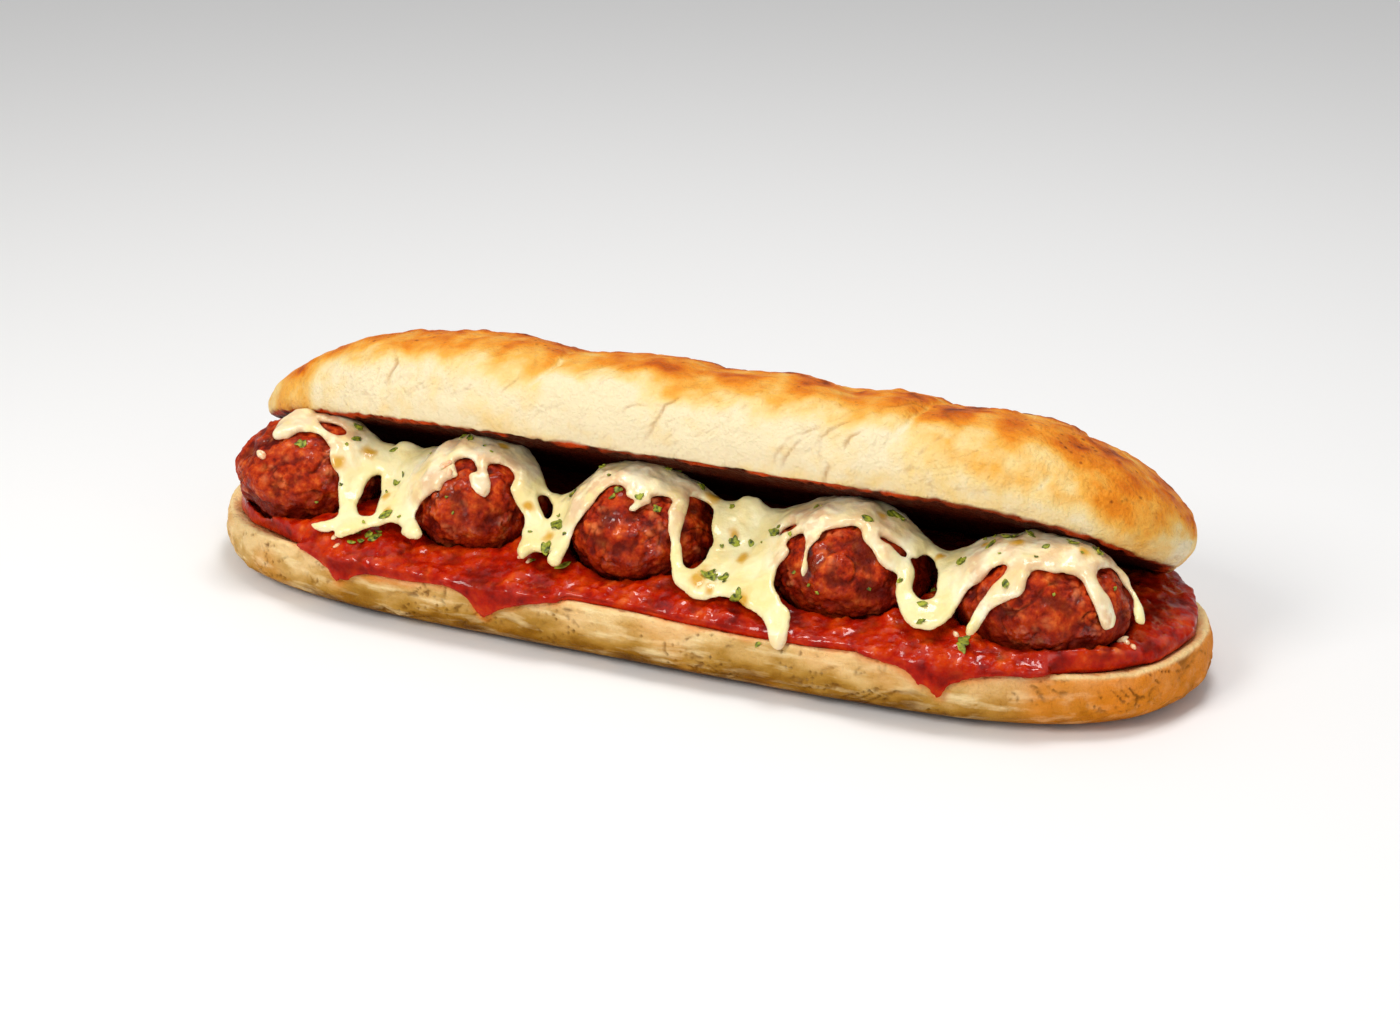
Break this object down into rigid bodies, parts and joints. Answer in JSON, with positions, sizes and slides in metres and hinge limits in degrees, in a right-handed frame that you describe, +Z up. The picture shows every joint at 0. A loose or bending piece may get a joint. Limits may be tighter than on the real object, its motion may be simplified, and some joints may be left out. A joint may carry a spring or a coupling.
{
  "type": "submarine sandwich",
  "caption": "Long split roll filled with tomato sauce and meatballs under melted cheese with herb flakes, its upper half leaning back.",
  "frame": {"origin": "middle of the underside of the bounding box, on the surface it lies on", "axes": "+X along the roll towards its right end as seen from the open side, +Y towards the closed back, +Z up"},
  "size_m": [0.2814, 0.1002, 0.069],
  "materials": {
    "bread_base": "baked crust",
    "bread_lid": "baked golden crust",
    "tomato_sauce": "wet",
    "melted_cheese": "satin",
    "meatball": "glazed"
  },
  "bodies": {
    "root": {"bread_base": "bread_base", "bread_lid": "bread_lid", "tomato_sauce": "tomato_sauce", "melted_cheese": "melted_cheese", "meatball_1": "meatball", "meatball_2": "meatball", "meatball_3": "meatball", "meatball_4": "meatball", "meatball_5": "meatball"}
  },
  "joints": []
}
